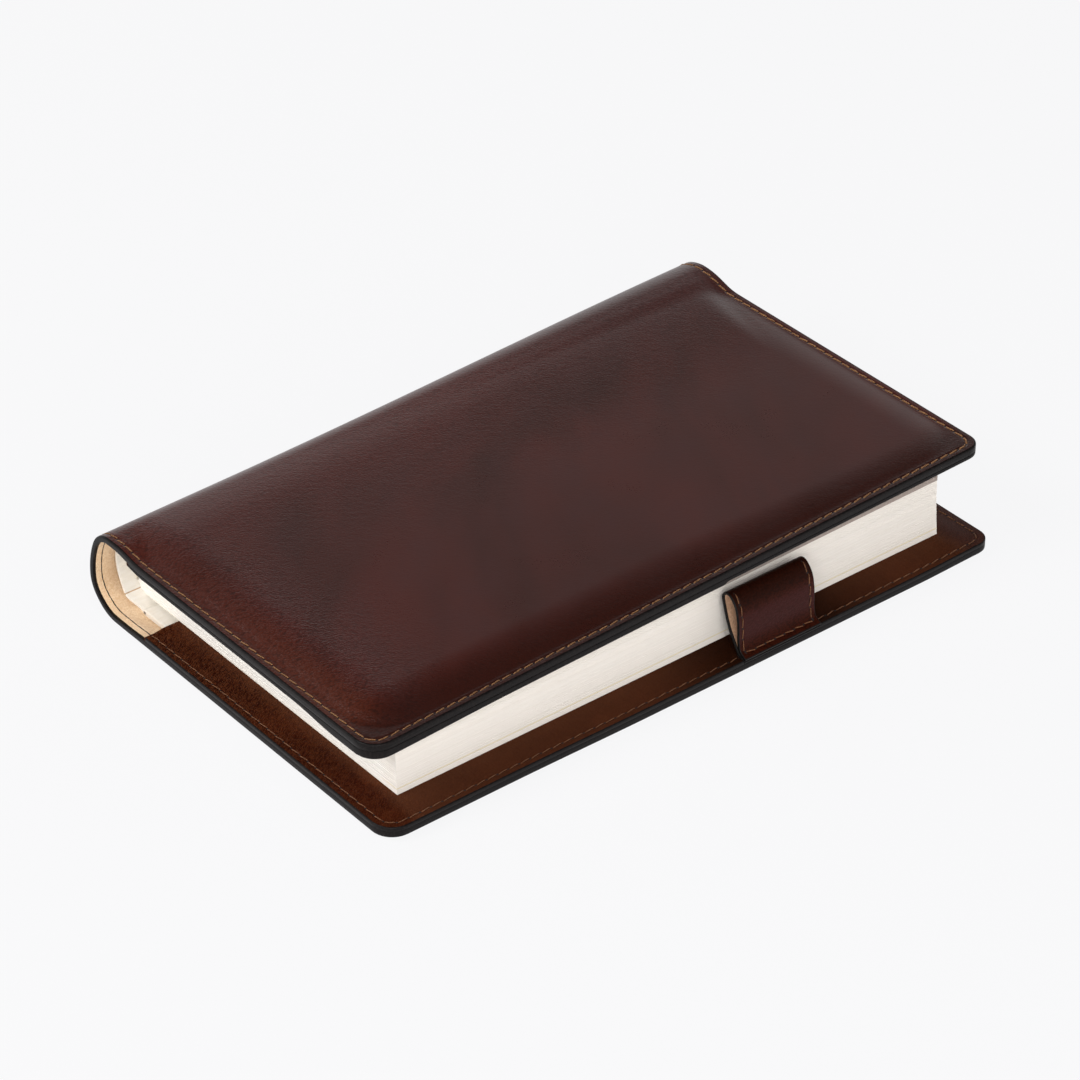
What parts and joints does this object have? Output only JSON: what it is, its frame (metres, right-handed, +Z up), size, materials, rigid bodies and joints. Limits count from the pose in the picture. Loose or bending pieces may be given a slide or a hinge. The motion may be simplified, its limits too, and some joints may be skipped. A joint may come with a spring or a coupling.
{
  "type": "leather notebook",
  "caption": "Refillable notebook: a stitched leather cover with inner pockets and a pen loop wraps a case-bound refill of ivory pages, and opens at its rounded spine.",
  "frame": {"origin": "centre of the notebook's outline on the table, under the back cover", "axes": "+X from the spine to the fore-edge, +Y from tail to head, +Z up through the closed notebook"},
  "size_m": [0.1456, 0.2284, 0.0342],
  "materials": {
    "outer_leather": "satin, smooth vegetable-tanned leather with black painted edges",
    "pocket_leather": "satin, fine grained",
    "loop_leather": "satin, folded strap",
    "thread": "waxed thread",
    "board": "matte cream cover card",
    "endpaper": "matte",
    "pages": "matte ivory",
    "lining": "open weave cloth"
  },
  "bodies": {
    "back_cover": {"back_leather": "outer_leather", "back_flap": "pocket_leather", "back_seam": "thread", "pen_loop": "loop_leather", "pen_loop_seam": "thread", "back_board": "board", "back_endpaper": "endpaper", "section_01": "pages", "section_02": "pages", "section_03": "pages", "section_04": "pages", "section_05": "pages", "section_06": "pages", "section_07": "pages", "section_08": "pages", "spine_lining": "lining"},
    "spine": {"spine_leather": "outer_leather", "spine_strip": "board", "spine_seam": "thread"},
    "front_cover": {"front_leather": "outer_leather", "front_flap": "pocket_leather", "front_seam": "thread", "front_board": "board"},
    "leaves": {"section_09": "pages", "section_10": "pages", "section_11": "pages", "section_12": "pages", "front_endpaper": "endpaper"}
  },
  "joints": [
    {"name": "back_fold", "type": "hinge", "parent": "back_cover", "child": "spine", "pos_m": [-0.07118, 0, 0.00804], "axis": [0, -1, 0], "range_deg": [0, 89.6]},
    {"name": "front_fold", "type": "hinge", "parent": "spine", "child": "front_cover", "pos_m": [-0.07, 0, 0.02826], "axis": [0, -1, 0], "range_deg": [0, 90.3]},
    {"name": "leaves_turn", "type": "hinge", "parent": "back_cover", "child": "leaves", "pos_m": [-0.06611, 0, 0.02095], "axis": [0, -1, 0], "range_deg": [0, 180]}
  ],
  "couplings": [
    {"joint": "back_fold", "follows": "front_fold", "ratio": 0.98684},
    {"joint": "leaves_turn", "follows": "front_fold", "ratio": 1.9847}
  ]
}
